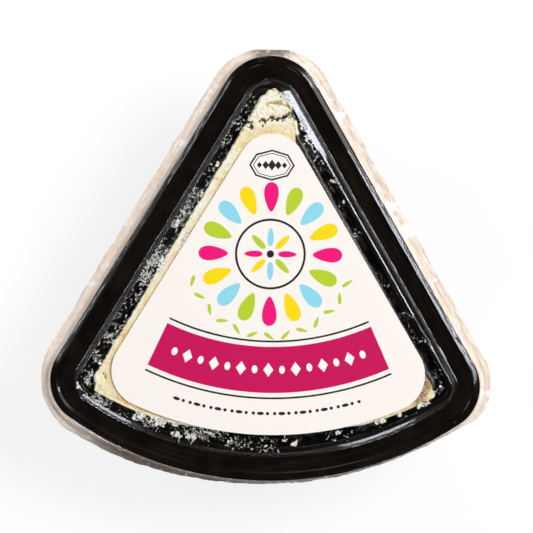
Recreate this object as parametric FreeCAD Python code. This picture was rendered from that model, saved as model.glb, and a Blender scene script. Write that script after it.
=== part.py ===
"""A wedge of blue-veined cheese, sealed in a black thermoformed tray.

Four pieces lie in one another: the cheese fills the tray, a clear film is sealed over both and
trimmed just outside the tray, and a paper label lies on the film over the cheese.

Millimetres. +Z is up, the floor of the tray rests on Z 0, and +Y points to the tip of the wedge.
The origin is the middle of the pack's footprint.
"""
import FreeCAD
import Part
from collections import namedtuple
import math
import os

# The cheese: a sixth of a disc cut from a small wheel.
wheel_radius = 95.0
wedge_angle = 60.0
cheese_height = 32.0
cheese_tip_radius = 3.3
cheese_corner_radius = 3.0
cheese_edge_radius = 1.1

# The tray is one formed sheet: floor, wall, raised bead, flat flange, ridge, lip and hem, from inside out.
sheet = 0.6
tray_extra_angle = 1.0    # the tray opens this much wider than the wedge
side_gap = 0.3            # cheese to foot of wall, at the tip
end_gap = 2.9             # cheese to foot of wall, at the middle of the rind
corner_gap = 0.8          # cheese to foot of wall, at the two rind corners
foot_corner_radius = 2.0
floor_fillet = 1.0
floor_join = 0.15         # the wall's sheet meets the floor this far inside its fillet
wall_lean = 1.1           # how far the wall leans out by its top
bead_width = 1.3          # across the flat of its top
bead_skirt = 1.4          # how far its outer slope runs
bead_height = 1.6         # above the flange
bead_round = 0.75
bead_foot_round = 1.0
flange_width = 4.1
ridge_rise_run = 0.5
ridge_width = 0.45
ridge_height = 0.4        # above the flange
ridge_round = 0.7
crease_round = 0.5        # where the ridge rises
lip_run = 1.5
lip_fall = 0.7            # from the ridge to the edge of the lip
lip_round = 0.9           # where it turns down into the hem
hem_run = 0.2
hem_drop = 2.0
bend_share = 0.98         # the most of a run that the bends at its two ends may take

# The film lies on the tray and the cheese, and its margin stands out past the hem.
film = 0.2
film_side_margin = 2.9
film_tip_margin = 1.5
film_end_margin = 0.8
film_corner_radius = 15.0
film_bow_extra = 9.0      # its bow is flatter than the hem's by this much radius
film_lap = 0.6            # how far out from the hem the margin becomes flat
film_crease_round = 0.5   # where it turns out from the hem

# The label is a rounded wedge of its own.
label_thickness = 0.15
label_extra_angle = 2.0   # its two sides open this much wider than the wedge
label_side_inset = 2.6    # label to side of cheese
label_end_overhang = 0.6  # label past the rind, at its middle
label_shift = 0.8         # stuck on this far towards +X
label_tip_radius = 9.2
label_corner_radius = 10.0

# A rounded wedge as seen from above, tip towards +Y: rounds about `tip` and `corner`, a bow about
# `centre`, and two straight sides that lean by `lean` from the Y axis.
Wedge = namedtuple("Wedge", "lean tip tip_radius corner corner_radius centre bow_radius")


def rounded_wedge(lean, apex_y, centre_y, bow_radius, tip_radius, corner_radius):
    """The wedge whose sides meet at (0, apex_y) before its tip is rounded."""
    tip = FreeCAD.Vector(0, apex_y - tip_radius / math.sin(lean), 0)
    centre = FreeCAD.Vector(0, centre_y, 0)
    along = FreeCAD.Vector(math.sin(lean), -math.cos(lean), 0)
    inward = FreeCAD.Vector(-math.cos(lean), -math.sin(lean), 0)
    start = FreeCAD.Vector(0, apex_y, 0) + inward * corner_radius - centre
    reach = bow_radius - corner_radius
    half = start.dot(along)
    run = -half + math.sqrt(half ** 2 - start.dot(start) + reach ** 2)
    return Wedge(lean, tip, tip_radius, centre + start + along * run, corner_radius, centre, bow_radius)


def mirrored(point):
    return FreeCAD.Vector(-point.x, point.y, point.z)


def outline(wedge, offset, z):
    """The closed wire that runs round the wedge, `offset` outside it, at height z."""
    side = FreeCAD.Vector(math.cos(wedge.lean), math.sin(wedge.lean), 0)
    to_bow = (wedge.corner - wedge.centre).normalize()
    tip_end = wedge.tip + side * (wedge.tip_radius + offset)
    side_end = wedge.corner + side * (wedge.corner_radius + offset)
    corner_mid = wedge.corner + (side + to_bow).normalize() * (wedge.corner_radius + offset)
    bow_end = wedge.corner + to_bow * (wedge.corner_radius + offset)
    bow_mid = wedge.centre + FreeCAD.Vector(0, -wedge.bow_radius - offset, 0)
    tip_mid = wedge.tip + FreeCAD.Vector(0, wedge.tip_radius + offset, 0)
    edges = [
        Part.LineSegment(tip_end, side_end),
        Part.Arc(side_end, corner_mid, bow_end),
        Part.Arc(bow_end, bow_mid, mirrored(bow_end)),
        Part.Arc(mirrored(bow_end), mirrored(corner_mid), mirrored(side_end)),
        Part.LineSegment(mirrored(side_end), mirrored(tip_end)),
        Part.Arc(mirrored(tip_end), tip_mid, tip_end),
    ]
    wire = Part.Wire([edge.toShape() for edge in edges])
    wire.translate(FreeCAD.Vector(0, 0, z))
    return wire


def plate(wedge, offset, z, thickness):
    return Part.Face(outline(wedge, offset, z)).extrude(FreeCAD.Vector(0, 0, thickness))


def section_path(points):
    """A path through (outward, height, round) points, in the X-Z plane, with its bends rounded.

    Two bends that are too wide for the run between them are both made smaller to fit it.
    """
    corners = [FreeCAD.Vector(out, 0, height) for out, height, _ in points]
    bends = [bend for _, _, bend in points[1:-1]]
    runs = [after - before for before, after in zip(corners, corners[1:])]
    half_turns = [run.getAngle(following) / 2 for run, following in zip(runs, runs[1:])]
    cuts = [0] + [bend * math.tan(half) for bend, half in zip(bends, half_turns)] + [0]
    fits = [min(1, bend_share * run.Length / (start + end)) for run, start, end in zip(runs, cuts, cuts[1:])]
    edges = []
    last = corners[0]
    for i, half in enumerate(half_turns):
        bend = bends[i] * min(fits[i], fits[i + 1])
        here = corners[i + 1]
        back = runs[i] * (-1 / runs[i].Length)
        ahead = runs[i + 1] * (1 / runs[i + 1].Length)
        enter = here + back * bend * math.tan(half)
        leave = here + ahead * bend * math.tan(half)
        middle = here + (back + ahead).normalize() * (bend / math.cos(half) - bend)
        edges += [Part.LineSegment(last, enter), Part.Arc(enter, middle, leave)]
        last = leave
    edges.append(Part.LineSegment(last, corners[-1]))
    return Part.Wire([edge.toShape() for edge in edges])


def swept_sheet(wedge, points, thickness):
    """A sheet whose one face follows the points all round the wedge; a positive thickness lies above it."""
    path = section_path(points)
    section = path.makeOffset2D(thickness, fill=True, openResult=True)
    spine = outline(wedge, 0, 0)
    start = spine.Edges[0].valueAt(spine.Edges[0].FirstParameter)
    turn = FreeCAD.Rotation(FreeCAD.Vector(0, 0, 1), math.degrees(wedge.lean))
    section.Placement = FreeCAD.Placement(start, turn)
    return spine.makePipeShell([section.OuterWire], True, False)


def cheese_wedge():
    return rounded_wedge(math.radians(wedge_angle / 2), 0, 0, wheel_radius,
                         cheese_tip_radius, cheese_corner_radius)


def foot_of_wall():
    """The rounded wedge where the tray's wall would meet its floor, were there no fillet."""
    lean = math.radians((wedge_angle + tray_extra_angle) / 2)
    far = wheel_radius + end_gap
    near = far - corner_gap
    corner_depth = wheel_radius * math.cos(math.radians(wedge_angle / 2))
    centre_depth = (near ** 2 - wheel_radius ** 2) / (2 * (near - corner_depth))
    return rounded_wedge(lean, side_gap / math.sin(lean), -centre_depth, far - centre_depth,
                         cheese_tip_radius + side_gap, foot_corner_radius)


def film_margin():
    """The film's own outline: its sides, tip and bow lie at different distances outside the hem."""
    sharpness = 1 / math.sin(foot.lean)
    side = foot.tip_radius + hem_out + film_side_margin
    tip_radius = side + (film_side_margin - film_tip_margin) / (sharpness - 1)
    bow_y = foot.centre.y - foot.bow_radius - hem_out - film_end_margin
    bow_radius = foot.bow_radius + hem_out + film_bow_extra
    return rounded_wedge(foot.lean, foot.tip.y + side * sharpness, bow_y + bow_radius, bow_radius,
                         tip_radius, film_corner_radius)


cheese_outline = cheese_wedge()
foot = foot_of_wall()

# Heights of the tray's upper face, and how far each bend of it lies outside the foot of the wall.
top = sheet + cheese_height
flange_z = top - bead_height
ridge_z = flange_z + ridge_height
lip_z = ridge_z - lip_fall
hem_z = lip_z - hem_drop
bead_in = wall_lean
bead_out = bead_in + bead_width
flange_in = bead_out + bead_skirt
flange_out = flange_in + flange_width
ridge_in = flange_out + ridge_rise_run
ridge_out = ridge_in + ridge_width
lip_out = ridge_out + lip_run
hem_out = lip_out + hem_run
film_outline = film_margin()

rim_points = [
    (bead_out, top, bead_round),
    (flange_in, flange_z, bead_foot_round),
    (flange_out, flange_z, crease_round),
    (ridge_in, ridge_z, ridge_round),
    (ridge_out, ridge_z, ridge_round),
    (lip_out, lip_z, lip_round),
]


def make_tray():
    floor_edge = -floor_fillet - floor_join
    points = [(floor_edge, sheet, 0), (0, sheet, floor_fillet), (bead_in, top, bead_round)]
    points += rim_points + [(hem_out, hem_z, 0)]
    wall = swept_sheet(foot, points, -sheet)
    return wall.fuse(plate(foot, floor_edge, 0, sheet)).removeSplitter()


def make_cheese():
    block = plate(cheese_outline, 0, sheet, cheese_height)
    rims = [edge for edge in block.Edges if edge.BoundBox.ZLength < 1e-6]
    return block.makeFillet(cheese_edge_radius, rims)


def make_film():
    lap = hem_out + film_lap
    inner = (bead_in + bead_out) / 2
    points = [(inner, top, 0)] + rim_points + [(hem_out, hem_z, film_crease_round), (lap, hem_z, 0)]
    drape = swept_sheet(foot, points, film)
    cover = plate(foot, inner, top, film)
    margin = plate(film_outline, 0, hem_z, film).cut(plate(foot, lap, hem_z, film))
    return drape.fuse([cover, margin]).removeSplitter()


def make_label():
    lean = math.radians((wedge_angle + label_extra_angle) / 2)
    apex_y = -label_side_inset / math.sin(math.radians(wedge_angle / 2))
    radius = wheel_radius + label_end_overhang + apex_y
    shape = rounded_wedge(lean, apex_y, apex_y, radius, label_tip_radius, label_corner_radius)
    label = plate(shape, 0, top + film, label_thickness)
    label.translate(FreeCAD.Vector(label_shift, 0, 0))
    return label


parts = {
    "tray": make_tray(),
    "cheese": make_cheese(),
    "lid_film": make_film(),
    "label": make_label(),
}

# The footprint is the film's: its middle is the origin.
film_tip_y = film_outline.tip.y + film_outline.tip_radius
film_bow_y = film_outline.centre.y - film_outline.bow_radius
to_origin = FreeCAD.Vector(0, -(film_tip_y + film_bow_y) / 2, 0)

os.makedirs("parts", exist_ok=True)
for name, shape in parts.items():
    shape.translate(to_origin)
    shape.exportStep(f"parts/{name}.step")
    print(f"{name}: {len(shape.Solids)} solid(s), valid {shape.isValid()}, {shape.Volume / 1000:.2f} cm3")
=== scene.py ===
# %% [markdown]
# # A wedge of blue cheese, sealed in a black tray
# The real pack is four things in one another: a soft wedge of cheese, a black tray that is formed
# from one hot sheet, a clear film that is sealed over both, and a paper label stuck on the film.
# The tray and the label are exact solids already, and only need their finish. The cheese, the film,
# the crumbs under it and the print on the label are modelled here.

# %% Load the frame
from collections import namedtuple
from math import atan2, ceil, cos, degrees, pi, radians, sin, sqrt

import bmesh
import bpy
import numpy as np
from mathutils import Matrix, Vector, noise


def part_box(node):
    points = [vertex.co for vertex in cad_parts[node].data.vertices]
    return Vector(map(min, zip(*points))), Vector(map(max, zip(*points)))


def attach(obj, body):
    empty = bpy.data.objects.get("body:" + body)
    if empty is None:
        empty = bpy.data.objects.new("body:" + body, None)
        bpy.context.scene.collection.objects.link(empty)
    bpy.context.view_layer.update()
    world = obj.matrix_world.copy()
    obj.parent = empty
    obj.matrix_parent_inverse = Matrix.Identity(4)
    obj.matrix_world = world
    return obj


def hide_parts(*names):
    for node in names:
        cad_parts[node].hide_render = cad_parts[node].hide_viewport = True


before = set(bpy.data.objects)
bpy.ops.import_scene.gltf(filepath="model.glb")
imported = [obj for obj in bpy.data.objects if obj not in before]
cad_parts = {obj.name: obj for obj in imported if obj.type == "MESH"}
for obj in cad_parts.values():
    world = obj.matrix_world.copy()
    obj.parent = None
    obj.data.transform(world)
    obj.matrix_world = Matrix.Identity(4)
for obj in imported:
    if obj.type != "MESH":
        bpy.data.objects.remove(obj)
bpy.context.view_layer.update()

bpy.context.scene.view_settings.view_transform = "Standard"

# %% [markdown]
# ## Working in millimetres
# The frame is in metres, but a pack is designed in millimetres. So each piece is modelled in
# millimetres, and one function at the end scales it, smooths it and hands it over. The boxes of
# the solids are read the same way.

# %% Units and the last step of every piece
MM = 0.001


def box(name):
    low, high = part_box(name)
    return low / MM, high / MM


def new_mesh(name, bm):
    mesh = bpy.data.meshes.new(name)
    bm.to_mesh(mesh)
    bm.free()
    return mesh


def new_object(name, data):
    made = bpy.data.objects.new(name, data)
    bpy.context.scene.collection.objects.link(made)
    return made


def finish_piece(name, bm, material, node=None):
    """Makes the mesh a finished piece of the pack: in metres, smooth, and riding on its one body."""
    bmesh.ops.scale(bm, vec=Vector((MM, MM, MM)), verts=bm.verts)
    return finish_mesh(name, new_mesh(name, bm), material, node)


def finish_mesh(name, mesh, material, node=None):
    """The same for a mesh that is in metres already; `node` is the solid that it stands for."""
    mesh.shade_smooth()
    mesh.materials.append(material)
    piece = new_object(name, mesh)
    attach(piece, "root")
    if node:
        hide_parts(node)
    triangles = sum(len(face.vertices) - 2 for face in mesh.polygons)
    print(f"{name}: {triangles} triangles")
    return piece


def refinish(node, material):
    """Gives a solid that stays as it is its finish."""
    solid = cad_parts[node]
    solid.data.materials.clear()
    solid.data.materials.append(material)
    print(f"{node}: finished as {material.name}")
    return solid


# %% [markdown]
# ## The rounded wedge
# Seen from above, the tray, the cheese and the film are the same kind of shape: a wedge with two
# straight sides, a rounded tip, two rounded corners and a bow. It could be drawn as a curve, but a
# list of places, each with the direction that points straight out of the wedge, is more use: every
# bend of the rim then lies at its own distance along that direction.

# %% A wedge and the places round it
Wedge = namedtuple("Wedge", "lean tip tip_radius corner corner_radius centre bow_radius")


def rounded_wedge(lean, top_y, bottom_y, tip_radius, corner_radius, bow_radius):
    """The wedge whose rounded tip touches top_y and whose bow touches bottom_y."""
    tip = Vector((0, top_y - tip_radius))
    centre = Vector((0, bottom_y + bow_radius))
    along = Vector((sin(lean), -cos(lean)))
    inward = Vector((-cos(lean), -sin(lean)))
    start = tip + Vector((0, tip_radius / sin(lean))) + inward * corner_radius - centre
    half = start.dot(along)
    run = -half + sqrt(half**2 - start.length_squared + (bow_radius - corner_radius) ** 2)
    return Wedge(lean, tip, tip_radius, centre + start + along * run, corner_radius, centre, bow_radius)


def right_half(wedge, offset, spacing):
    """(place, outward) pairs down the right half, `spacing` apart on the wedge grown by `offset`."""
    side = Vector((cos(wedge.lean), sin(wedge.lean)))
    to_bow = wedge.corner - wedge.centre
    bow_angle = atan2(to_bow.y, to_bow.x)
    found = []

    def arc(centre, radius, start, end):
        steps = ceil(abs(end - start) * (radius + offset) / spacing)
        for i in range(steps):
            angle = start + (end - start) * i / steps
            outward = Vector((cos(angle), sin(angle)))
            found.append((centre + outward * radius, outward))

    def line(start, end):
        steps = ceil((end - start).length / spacing)
        found.extend((start.lerp(end, i / steps), side) for i in range(steps))

    arc(wedge.tip, wedge.tip_radius, pi / 2, wedge.lean)
    line(wedge.tip + side * wedge.tip_radius, wedge.corner + side * wedge.corner_radius)
    arc(wedge.corner, wedge.corner_radius, wedge.lean, bow_angle)
    arc(wedge.centre, wedge.bow_radius, bow_angle, -pi / 2)
    found.append((wedge.centre - Vector((0, wedge.bow_radius)), Vector((0, -1))))
    return found


def stations(wedge, offset, spacing):
    """The places all round the wedge, anticlockwise from its tip."""
    right = right_half(wedge, offset, spacing)
    left = [(Vector((-place.x, place.y)), Vector((-out.x, out.y))) for place, out in right]
    return left + right[-2:0:-1]


# %% [markdown]
# The outlines follow from the boxes of the solids and from the few radii that a box can't tell.
# The tray's own outline is taken at the foot of its wall, and every bend of its rim is named by how
# far outside that foot it lies.

# %% The outlines of the cheese, of the tray and of the label
cheese_lean, tray_lean, label_lean = radians(30), radians(30.5), radians(31)
cheese_tip_radius, cheese_corner_radius = 3.3, 3.0
foot_tip_radius, foot_corner_radius, foot_bow_radius = 3.6, 2.0, 84.3
label_tip_radius, label_corner_radius, label_bow_radius = 9.2, 10.0, 90.4
bead_in, bead_out = 1.1, 2.4
flange_in, flange_out = 3.8, 7.9
ridge_in, ridge_out = 8.4, 8.85
lip_out, hem_out = 10.35, 10.55

cheese_low, cheese_high = box("cheese")
tray_low, tray_high = box("tray")
film_low, film_high = box("lid_film")
label_low, label_high = box("label")
wheel_radius = cheese_high.y - cheese_low.y + cheese_tip_radius * (1 / sin(cheese_lean) - 1)
cheese_shape = rounded_wedge(cheese_lean, cheese_high.y, cheese_low.y,
                             cheese_tip_radius, cheese_corner_radius, wheel_radius)
foot = rounded_wedge(tray_lean, tray_high.y - hem_out, tray_low.y + hem_out,
                     foot_tip_radius, foot_corner_radius, foot_bow_radius)
label_shape = rounded_wedge(label_lean, label_high.y, label_low.y,
                            label_tip_radius, label_corner_radius, label_bow_radius)
label_x = (label_low.x + label_high.x) / 2
print(f"wheel radius {wheel_radius:.1f} mm, foot corner at {foot.corner.x:.1f}, {foot.corner.y:.1f} mm")

# %% [markdown]
# ## Drawing a sheet out, loop by loop
# Cheese and film are both made the way a sheet is drawn: a closed loop of edges is laid down on its
# places, and then it is extruded again and again, each new loop being set down on the next places.
# A grid could be bent round instead, but it would leave a seam to close.

# %% Loops
seed_step = 7.31  # the noises of two seeds are this far apart


def draw_out(bm, loop, places):
    """A closed loop of edges on the places, extruded from the last loop where there is one."""
    if loop is None:
        following = bmesh.ops.create_circle(bm, cap_ends=False, segments=len(places), radius=1)["verts"]
    else:
        edges = [bm.edges.get(pair) for pair in zip(loop, loop[1:] + loop[:1])]
        made = bmesh.ops.extrude_edge_only(bm, edges=edges)["geom"]
        new = {item for item in made if isinstance(item, bmesh.types.BMVert)}
        following = [next(other for edge in vert.link_edges
                          for other in [edge.other_vert(vert)] if other in new) for vert in loop]
    for vert, place in zip(following, places):
        vert.co = place
    return following


def turn_upwards(bm):
    """Makes the faces of an open sheet all point up."""
    bmesh.ops.recalc_face_normals(bm, faces=bm.faces)
    if sum(face.normal.z * face.calc_area() for face in bm.faces) < 0:
        bmesh.ops.reverse_faces(bm, faces=bm.faces)


def pointing(turn):
    """The direction that lies `turn` degrees round from +X."""
    return Vector((cos(radians(turn)), sin(radians(turn))))


def ripple(x, y, size, seed, depth=1):
    """Smooth noise from about -1 to 1 whose lumps are `size` mm across."""
    place = Vector((x / size, y / size, seed * seed_step))
    return noise.fractal(place, 1.0, 2.0, depth)


# %% [markdown]
# ## Building a finish from nodes
# A finish is a small tree of shader nodes. Writing each node and each link on a line of its own
# makes a simple finish look long, so one helper adds a node, sets it, and links what it is given.
# Colours are written as they look on a screen and turned into the linear values that shaders use.

# %% Helpers for materials


def new_tree(name):
    material = bpy.data.materials.new(name)
    material.use_nodes = True
    material.node_tree.nodes.clear()
    return material, material.node_tree


def add(tree, kind, inputs=None, **settings):
    """A new shader node. An input is a plain value, or another node's output, which is then linked."""
    made = tree.nodes.new("ShaderNode" + kind)
    for name, value in settings.items():
        setattr(made, name, value)
    for name, value in (inputs or {}).items():
        if isinstance(value, bpy.types.NodeSocket):
            tree.links.new(value, made.inputs[name])
        else:
            made.inputs[name].default_value = value
    return made


def principled(name, sockets_for):
    """A material of one Principled shader; sockets_for(tree) says what goes into it."""
    material, tree = new_tree(name)
    shader = add(tree, "BsdfPrincipled", sockets_for(tree))
    add(tree, "OutputMaterial", {"Surface": shader.outputs["BSDF"]})
    return material


def screen(red, green, blue):
    """The linear colour of what a screen shows as this red, green and blue, from 0 to 255."""
    parts = [part / 255 for part in (red, green, blue)]
    return [part / 12.92 if part <= 0.04045 else ((part + 0.055) / 1.055) ** 2.4 for part in parts] + [1]


def mixed(tree, share, first, second):
    """The colour between two colours, by a share from 0 to 1."""
    return add(tree, "Mix", {0: share, 6: first, 7: second}, data_type="RGBA").outputs[2]


def ramp(tree, value, low, high):
    """0 below the low value, 1 above the high one, and a smooth rise between."""
    made = add(tree, "MapRange", {"Value": value, "From Min": low, "From Max": high},
               interpolation_type="SMOOTHSTEP")
    return made.outputs["Result"]


def grain(tree, size, detail=2.0, roughness=0.5):
    """Noise from 0 to 1 whose lumps are about `size` mm across."""
    place = add(tree, "TexCoord").outputs["Object"]
    made = add(tree, "TexNoise", {"Vector": place, "Scale": 1 / (size * MM),
                                  "Detail": detail, "Roughness": roughness})
    return made.outputs["Fac"]


def field(tree, name, output="Fac"):
    """What the mesh itself says at each point, under that name."""
    return add(tree, "Attribute", attribute_name=name).outputs[output]


def maths(tree, operation, first, second, third=0.0):
    return add(tree, "Math", {0: first, 1: second, 2: third}, operation=operation).outputs["Value"]


def times(tree, first, second):
    return maths(tree, "MULTIPLY", first, second)


def bump(tree, height, distance):
    """The shading normal over a height from 0 to 1 that stands for `distance` mm."""
    return add(tree, "Bump", {"Height": height, "Distance": distance * MM}).outputs["Normal"]


# %% [markdown]
# ## The black tray
# A thermoformed tray is glossy, deep black plastic with a hint of brown. Where the hot sheet was
# pulled over the mould it keeps a faint, stretched unevenness, so reflections waver a little. The
# solid has the right shape already, so it stays, and only its finish is made.

# %% Tray finish


def formed_plastic(tree):
    haze = grain(tree, 6, 4)
    return {
        "Base Color": mixed(tree, ramp(tree, haze, 0.35, 0.7), screen(8, 5, 3), screen(20, 14, 9)),
        "Roughness": maths(tree, "MULTIPLY_ADD", haze, 0.08, 0.17),
        "Specular IOR Level": 0.15,
        "Normal": bump(tree, grain(tree, 3.0, 1), 0.03),
    }


tray = refinish("tray", principled("black_formed_plastic", formed_plastic))

# %% [markdown]
# ## The cheese
# Only the top of the wedge shows, and only round the label: a creamy tip with small holes, a broken
# line of blue mould across it, a strip along one side, and a soft edge, which is painted dark as the
# shade that falls on its rounded side. The wedge could be cut from a block, but a soft cheese has no
# true edge. So its outline is drawn out ring by ring, from the floor up its side, over a rounded and
# uneven edge, and in over the top, where pits and grooves are pressed into the rings.

# %% Where the cheese spreads and how its edge runs
cheese_round = 1.1
wall_gap = 0.3
wall_slope = bead_in / (tray_high.z - cheese_low.z)
tip_y = cheese_high.y
squeeze_left, squeeze_right = 0.2, 2.9  # beside the tip
sag_left, sag_right = 0.35, -0.1
bow_spread, corner_spread = 0.3, 1.5
print(f"the tray's wall leans out by {bead_in} mm over {tray_high.z - cheese_low.z:.1f} mm")


def rise(value, low, high):
    """0 below low, 1 above high, smooth between."""
    share = min(max((value - low) / (high - low), 0), 1)
    return share * share * (3 - 2 * share)


def between(share, first, second):
    return first + (second - first) * share


def edge_spread(place, outward):
    """How far the cheese's top edge lies outside the cut wedge."""
    from_tip = place.y - tip_y
    to_right = rise(outward.x, -0.5, 0.3)
    start, full = between(to_right, -9.0, -12.5), between(to_right, -5.5, -3.5)
    squeezed = between(to_right, squeeze_left, squeeze_right) * rise(from_tip, start, full)
    sagged = between(rise(outward.x, -0.6, 0.2), sag_left, sag_right) * (1 - rise(from_tip, -14, -8))
    bowed = rise(-outward.y, 0.5, 0.8) * (bow_spread + corner_spread * rise(abs(place.x), 12, 32))
    uneven = 0.55 * ripple(place.x, place.y, 3.0, 1, 3) + 0.35 * ripple(place.x, place.y, 1.0, 12, 2)
    return squeezed + sagged + bowed + uneven * between(rise(from_tip, -12, -7), 0.4, 1)


def edge_shade_share(place, from_edge):
    """How much painted shade the rounded edge gets, by how far in from its edge: along the sides, less at
    the corners.
    """
    at_corner = 1 - rise(place.y, cheese_low.y + 11, cheese_low.y + 17)
    on_right = rise(place.x, -2, 2)
    start = between(at_corner, between(on_right, -0.3, 1.6), -0.2)
    end = between(at_corner, between(on_right, 1.3, 3.6), 0.8)
    bare_tip = rise(place.y - tip_y, -12.5, -8.5)
    return (1 - rise(from_edge, start, end)) * (1 - bare_tip)


def wall_at(z):
    """How far outside the cut wedge the tray's wall stands at height z."""
    return wall_gap + wall_slope * (z - cheese_low.z)


# %% [markdown]
# The curd was cut into lumps before the wheel was shaped, and the seams between the lumps still show
# as soft, olive creases. Cells of noise make them: a crease runs wherever two cells are equally near.
# Mould grew along one broken seam across the tip. Relief and colour are both worked out from these
# few functions, so they agree, and the colour paints shade into the creases and pits that the relief
# presses in.

# %% Creases, pits and mould
crease_depth, mould_depth = 0.28, 0.35
vein = [(-2.7, -7.0), (-1.0, -7.3), (0.2, -6.3), (1.8, -6.7), (3.7, -6.2), (5.0, -5.4), (6.6, -4.5)]
pits = [
    # along x, along y, radius, depth
    (0.4, tip_y + 1.9, 0.6, 0.7), (-1.2, tip_y + 1.1, 0.6, 0.35), (4.6, tip_y - 1.2, 0.8, 0.45),
    (2.9, tip_y - 0.7, 0.35, 0.3), (-0.1, tip_y - 2.4, 0.3, 0.25), (0.2, tip_y - 6.1, 0.45, 0.9),
    (-2.9, tip_y - 7.4, 0.35, 0.6), (-1.9, tip_y - 8.6, 0.25, 0.5), (5.2, tip_y - 5.0, 0.5, 0.5),
    (-43.4, -30.7, 0.5, 0.7), (-43.8, -29.8, 0.4, 0.6), (42.0, -34.6, 0.4, 0.3),
]
print(f"{len(pits)} pits, a vein {vein[-1][0] - vein[0][0]:.1f} mm long")


def spot(x, y, pit):
    """1 at the middle of a pit and 0 away from it, with an uneven rim."""
    centre_x, centre_y, radius, _ = pit
    reach = sqrt((x - centre_x) ** 2 + (y - centre_y) ** 2) / radius
    return 1 - rise(reach + 0.9 * ripple(x, y, 0.6, 5, 2), 0.2, 1.5)


def crease(x, y, size, seed):
    """1 on the seams between lumps of curd and 0 on the lumps."""
    x += 0.3 * size * ripple(x, y, size * 0.8, seed, 2)
    y += 0.3 * size * ripple(y, x, size * 0.8, seed + 1, 2)
    nearest, second = noise.voronoi(Vector((x / size, y / size, seed * 3.7)))[0][:2]
    return 1 - rise(second - nearest, 0.0, 0.4)


def open_crease(x, y):
    """The creases that stayed open: a few of them, and only near the tip."""
    chosen = rise(ripple(x, y, 2.4, 6, 1), -0.3, 0.3) * rise(y - tip_y, -7, -4)
    return crease(x, y, 2.6, 13) * chosen


def on_vein(x, y):
    """The line of mould across the tip: now thicker, now broken, with a paler halo round it."""
    middle = tip_y + np.interp(x, *zip(*vein)) + 0.15 * ripple(x, 0, 0.8, 8, 2)
    thickness = 0.35 + 0.85 * rise(ripple(x, 3, 1.1, 16, 2), -0.2, 0.5)
    unbroken = between(rise(ripple(x, 9, 0.9, 17, 2), -0.5, -0.1), 0.6, 1)
    line = (1 - rise(abs(y - middle), 0.1, thickness)) * unbroken
    halo = 0.85 * (1 - rise(abs(y - middle + 0.2), 0.3, 1.8)) * rise(ripple(x, y, 0.9, 18, 2), -0.3, 0.3)
    return rise(x, vein[0][0] - 0.5, vein[0][0] + 0.5) * max(line, halo)


def mould_share(x, y):
    """How much blue mould there is: the vein, and patches at both its ends."""
    if y < tip_y - 17:
        return 0
    left = rise(-x, 3.2, 5.2) * (1 - rise(abs(y - tip_y + 7.6), 1.2, 3.4))
    right = rise(x - 0.42 * (tip_y - y), 3.0, 4.6) * (1 - rise(y - tip_y, -6.5, -4.0))
    patch = max(left, right) * rise(ripple(x, y, 1.5, 11, 2), -0.35, 0.25)
    return min(1, max(on_vein(x, y), patch))


def top_height(x, y):
    """How far the top of the cheese lies below its highest level, as a negative number."""
    height = 0.10 * ripple(x, y, 5.0, 2, 2) + 0.07 * ripple(x, y, 1.2, 3, 3) - 0.16
    height -= sum(pit[3] * spot(x, y, pit) for pit in pits)
    return height - crease_depth * open_crease(x, y) - mould_depth * mould_share(x, y)


# %% [markdown]
# The rings over the top shrink towards a point deep under the label. They are close together where
# the cheese shows, and the last one is closed with a face, since the label hides it. On the way each
# point is given four numbers for the finish: how much painted shade its rounded edge gets, how mouldy
# it is, how much painted shade its creases and pits get, and how much it sweats.

# %% Where the cheese sweats


def sweat_share(x, y):
    """How amber the cheese is: it sweats where it meets the edge of the label."""
    at = Vector((abs(x - label_x), y))
    from_tip = at - label_shape.tip
    side = Vector((cos(label_shape.lean), sin(label_shape.lean)))
    along = Vector((side.y, -side.x))
    if from_tip.dot(along) < 0:
        away = from_tip.length - label_shape.tip_radius
    elif (at - label_shape.corner).dot(along) < 0:
        away = from_tip.dot(side) - label_shape.tip_radius
    else:
        away = (at - label_shape.corner).length - label_shape.corner_radius
    reach = between(rise(y, 30, 36), between(rise(-y, 24, 28), 1.8, 5.2), 4.2)
    browned = 0.8 * rise(x, 38, 43) * rise(-y, 24, 30)
    return (1 - rise(away + 0.9 * ripple(x, y, 2.0, 15, 2), 0.2, reach)) * (1 + browned)


# %% Draw out the cheese
cheese_spacing = 0.55
edge_steps = 9
top_steps = 70
shown_share = 0.2  # how far towards that point the rings go
cheese_middle = Vector((0, -12))


def cheese_places():
    """Stations round the cheese, four times as close at the tip as elsewhere."""
    fine = stations(cheese_shape, 0, cheese_spacing / 4)
    return [s for i, s in enumerate(fine) if s[0].y > tip_y - 14 or i % 4 == 0]


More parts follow.
